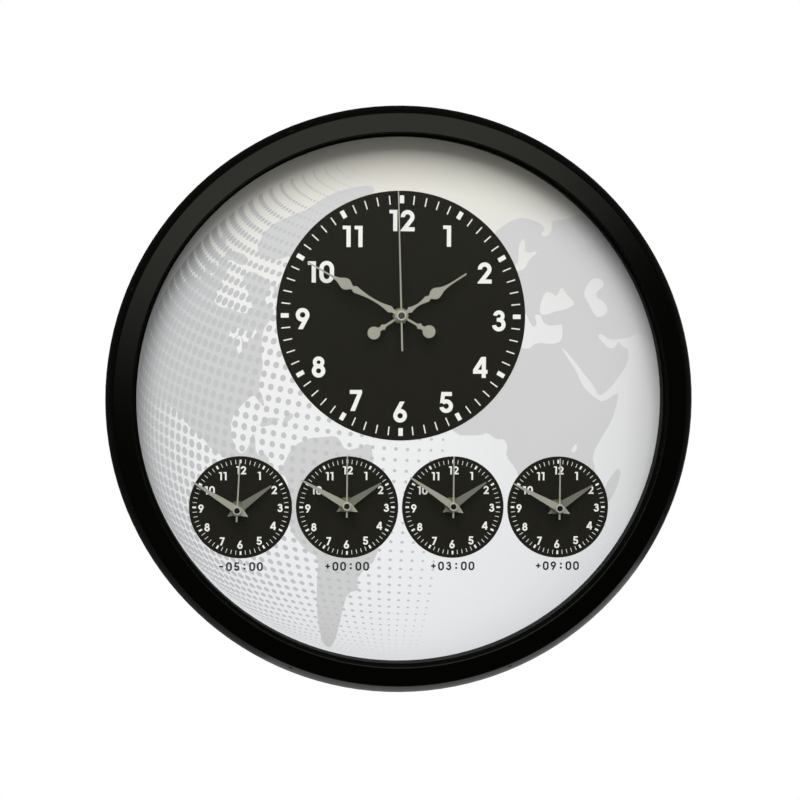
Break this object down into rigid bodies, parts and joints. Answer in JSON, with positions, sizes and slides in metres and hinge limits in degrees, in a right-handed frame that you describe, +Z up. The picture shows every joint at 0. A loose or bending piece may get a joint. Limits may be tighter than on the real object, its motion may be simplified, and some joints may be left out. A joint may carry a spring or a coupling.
{
  "type": "world time wall clock",
  "caption": "Round black wall clock with a large main dial above a row of small time-zone dials, each with its own hands and quartz movement.",
  "frame": {"origin": "centre of the ring that rests on the wall, in the wall plane", "axes": "+Z up, -Y out of the dial towards the viewer, +Y into the wall, +X to the viewer's right"},
  "size_m": [0.4, 0.0499, 0.4],
  "materials": {
    "rim_plastic": "black moulded plastic, satin gloss",
    "lens_clear": "clear flat lens",
    "spacer_plastic": "black matt plastic",
    "fibreboard": "bare hardboard",
    "dial_print": "printed sheet, matt",
    "face_print": "warm black printed film with white numerals",
    "cover_plastic": "black grained plastic",
    "screw_steel": "zinc-plated steel",
    "hanger_steel": "zinc-plated pressed steel",
    "foot_rubber": "soft black rubber",
    "movement_plastic": "black moulded plastic",
    "battery_jacket": "plain printed jacket with a metal end",
    "contact_steel": "nickel-plated spring steel",
    "circuit_laminate": "green circuit laminate",
    "coil_copper": "enamelled copper winding",
    "stator_steel": "punched steel",
    "brass": "turned brass",
    "washer_rubber": "black rubber",
    "hand_metal": "stamped aluminium, satin with a fine grain",
    "gear_plastic": "natural acetal",
    "arbor_steel": "drawn steel",
    "knob_plastic": "pale grey plastic"
  },
  "bodies": {
    "root": {"rim": "rim_plastic", "lens": "lens_clear", "spacer_ring": "spacer_plastic", "dial_board": "fibreboard", "dial_sheet": "dial_print", "dial_faces": "face_print", "back_cover": "cover_plastic", "cover_screws": "screw_steel", "hanger_plate": "hanger_steel", "wall_bumpers": "foot_rubber", "movement_cases": "movement_plastic", "movement_covers": "movement_plastic", "batteries": "battery_jacket", "battery_contacts": "contact_steel", "circuit_boards": "circuit_laminate", "motor_coils": "coil_copper", "motor_stators": "stator_steel", "stem_bushings": "brass", "seal_washers": "washer_rubber", "mounting_nuts": "brass"},
    "main_hour": {"main_hour_hand": "hand_metal", "main_hour_wheel": "gear_plastic"},
    "main_minute": {"main_minute_hand": "hand_metal", "main_minute_arbor": "gear_plastic"},
    "main_second": {"main_second_hand": "hand_metal", "main_second_arbor": "arbor_steel"},
    "main_motion": {"main_motion_wheel": "gear_plastic"},
    "main_knob": {"main_setting_knob": "knob_plastic"},
    "zone1_hour": {"zone1_hour_hand": "hand_metal", "zone1_hour_wheel": "gear_plastic"},
    "zone1_minute": {"zone1_minute_hand": "hand_metal", "zone1_minute_arbor": "gear_plastic"},
    "zone1_second": {"zone1_second_hand": "hand_metal", "zone1_second_arbor": "arbor_steel"},
    "zone1_motion": {"zone1_motion_wheel": "gear_plastic"},
    "zone1_knob": {"zone1_setting_knob": "knob_plastic"},
    "zone2_hour": {"zone2_hour_hand": "hand_metal", "zone2_hour_wheel": "gear_plastic"},
    "zone2_minute": {"zone2_minute_hand": "hand_metal", "zone2_minute_arbor": "gear_plastic"},
    "zone2_second": {"zone2_second_hand": "hand_metal", "zone2_second_arbor": "arbor_steel"},
    "zone2_motion": {"zone2_motion_wheel": "gear_plastic"},
    "zone2_knob": {"zone2_setting_knob": "knob_plastic"},
    "zone3_hour": {"zone3_hour_hand": "hand_metal", "zone3_hour_wheel": "gear_plastic"},
    "zone3_minute": {"zone3_minute_hand": "hand_metal", "zone3_minute_arbor": "gear_plastic"},
    "zone3_second": {"zone3_second_hand": "hand_metal", "zone3_second_arbor": "arbor_steel"},
    "zone3_motion": {"zone3_motion_wheel": "gear_plastic"},
    "zone3_knob": {"zone3_setting_knob": "knob_plastic"},
    "zone4_hour": {"zone4_hour_hand": "hand_metal", "zone4_hour_wheel": "gear_plastic"},
    "zone4_minute": {"zone4_minute_hand": "hand_metal", "zone4_minute_arbor": "gear_plastic"},
    "zone4_second": {"zone4_second_hand": "hand_metal", "zone4_second_arbor": "arbor_steel"},
    "zone4_motion": {"zone4_motion_wheel": "gear_plastic"},
    "zone4_knob": {"zone4_setting_knob": "knob_plastic"}
  },
  "joints": [
    {"name": "main_hour_turn", "type": "hinge", "parent": "root", "child": "main_hour", "pos_m": [-0.0005, -0.02, 0.0585], "axis": [0, 1, 0], "continuous": true},
    {"name": "main_minute_turn", "type": "hinge", "parent": "root", "child": "main_minute", "pos_m": [-0.0005, -0.02, 0.0585], "axis": [0, 1, 0], "continuous": true},
    {"name": "main_second_turn", "type": "hinge", "parent": "root", "child": "main_second", "pos_m": [-0.0005, -0.02, 0.0585], "axis": [0, 1, 0], "continuous": true},
    {"name": "main_motion_turn", "type": "hinge", "parent": "root", "child": "main_motion", "pos_m": [0.00629, -0.02, 0.06529], "axis": [0, 1, 0], "continuous": true},
    {"name": "main_knob_turn", "type": "hinge", "parent": "root", "child": "main_knob", "pos_m": [0.01531, -0.02, 0.06857], "axis": [0, 1, 0], "continuous": true},
    {"name": "zone1_hour_turn", "type": "hinge", "parent": "root", "child": "zone1_hour", "pos_m": [-0.1115, -0.02, -0.0744], "axis": [0, 1, 0], "continuous": true},
    {"name": "zone1_minute_turn", "type": "hinge", "parent": "root", "child": "zone1_minute", "pos_m": [-0.1115, -0.02, -0.0744], "axis": [0, 1, 0], "continuous": true},
    {"name": "zone1_second_turn", "type": "hinge", "parent": "root", "child": "zone1_second", "pos_m": [-0.1115, -0.02, -0.0744], "axis": [0, 1, 0], "continuous": true},
    {"name": "zone1_motion_turn", "type": "hinge", "parent": "root", "child": "zone1_motion", "pos_m": [-0.10471, -0.02, -0.06761], "axis": [0, 1, 0], "continuous": true},
    {"name": "zone1_knob_turn", "type": "hinge", "parent": "root", "child": "zone1_knob", "pos_m": [-0.09569, -0.02, -0.06433], "axis": [0, 1, 0], "continuous": true},
    {"name": "zone2_hour_turn", "type": "hinge", "parent": "root", "child": "zone2_hour", "pos_m": [-0.037, -0.02, -0.0715], "axis": [0, 1, 0], "continuous": true},
    {"name": "zone2_minute_turn", "type": "hinge", "parent": "root", "child": "zone2_minute", "pos_m": [-0.037, -0.02, -0.0715], "axis": [0, 1, 0], "continuous": true},
    {"name": "zone2_second_turn", "type": "hinge", "parent": "root", "child": "zone2_second", "pos_m": [-0.037, -0.02, -0.0715], "axis": [0, 1, 0], "continuous": true},
    {"name": "zone2_motion_turn", "type": "hinge", "parent": "root", "child": "zone2_motion", "pos_m": [-0.03021, -0.02, -0.06471], "axis": [0, 1, 0], "continuous": true},
    {"name": "zone2_knob_turn", "type": "hinge", "parent": "root", "child": "zone2_knob", "pos_m": [-0.02119, -0.02, -0.06143], "axis": [0, 1, 0], "continuous": true},
    {"name": "zone3_hour_turn", "type": "hinge", "parent": "root", "child": "zone3_hour", "pos_m": [0.0359, -0.02, -0.0718], "axis": [0, 1, 0], "continuous": true},
    {"name": "zone3_minute_turn", "type": "hinge", "parent": "root", "child": "zone3_minute", "pos_m": [0.0359, -0.02, -0.0718], "axis": [0, 1, 0], "continuous": true},
    {"name": "zone3_second_turn", "type": "hinge", "parent": "root", "child": "zone3_second", "pos_m": [0.0359, -0.02, -0.0718], "axis": [0, 1, 0], "continuous": true},
    {"name": "zone3_motion_turn", "type": "hinge", "parent": "root", "child": "zone3_motion", "pos_m": [0.04269, -0.02, -0.06501], "axis": [0, 1, 0], "continuous": true},
    {"name": "zone3_knob_turn", "type": "hinge", "parent": "root", "child": "zone3_knob", "pos_m": [0.05171, -0.02, -0.06173], "axis": [0, 1, 0], "continuous": true},
    {"name": "zone4_hour_turn", "type": "hinge", "parent": "root", "child": "zone4_hour", "pos_m": [0.1092, -0.02, -0.0731], "axis": [0, 1, 0], "continuous": true},
    {"name": "zone4_minute_turn", "type": "hinge", "parent": "root", "child": "zone4_minute", "pos_m": [0.1092, -0.02, -0.0731], "axis": [0, 1, 0], "continuous": true},
    {"name": "zone4_second_turn", "type": "hinge", "parent": "root", "child": "zone4_second", "pos_m": [0.1092, -0.02, -0.0731], "axis": [0, 1, 0], "continuous": true},
    {"name": "zone4_motion_turn", "type": "hinge", "parent": "root", "child": "zone4_motion", "pos_m": [0.11599, -0.02, -0.06631], "axis": [0, 1, 0], "continuous": true},
    {"name": "zone4_knob_turn", "type": "hinge", "parent": "root", "child": "zone4_knob", "pos_m": [0.12501, -0.02, -0.06303], "axis": [0, 1, 0], "continuous": true}
  ],
  "couplings": [
    {"joint": "main_hour_turn", "follows": "main_minute_turn", "ratio": 0.083333},
    {"joint": "main_motion_turn", "follows": "main_minute_turn", "ratio": -0.33333},
    {"joint": "main_knob_turn", "follows": "main_minute_turn", "ratio": 1},
    {"joint": "zone1_hour_turn", "follows": "zone1_minute_turn", "ratio": 0.083333},
    {"joint": "zone1_motion_turn", "follows": "zone1_minute_turn", "ratio": -0.33333},
    {"joint": "zone1_knob_turn", "follows": "zone1_minute_turn", "ratio": 1},
    {"joint": "zone2_hour_turn", "follows": "zone2_minute_turn", "ratio": 0.083333},
    {"joint": "zone2_motion_turn", "follows": "zone2_minute_turn", "ratio": -0.33333},
    {"joint": "zone2_knob_turn", "follows": "zone2_minute_turn", "ratio": 1},
    {"joint": "zone3_hour_turn", "follows": "zone3_minute_turn", "ratio": 0.083333},
    {"joint": "zone3_motion_turn", "follows": "zone3_minute_turn", "ratio": -0.33333},
    {"joint": "zone3_knob_turn", "follows": "zone3_minute_turn", "ratio": 1},
    {"joint": "zone4_hour_turn", "follows": "zone4_minute_turn", "ratio": 0.083333},
    {"joint": "zone4_motion_turn", "follows": "zone4_minute_turn", "ratio": -0.33333},
    {"joint": "zone4_knob_turn", "follows": "zone4_minute_turn", "ratio": 1}
  ]
}
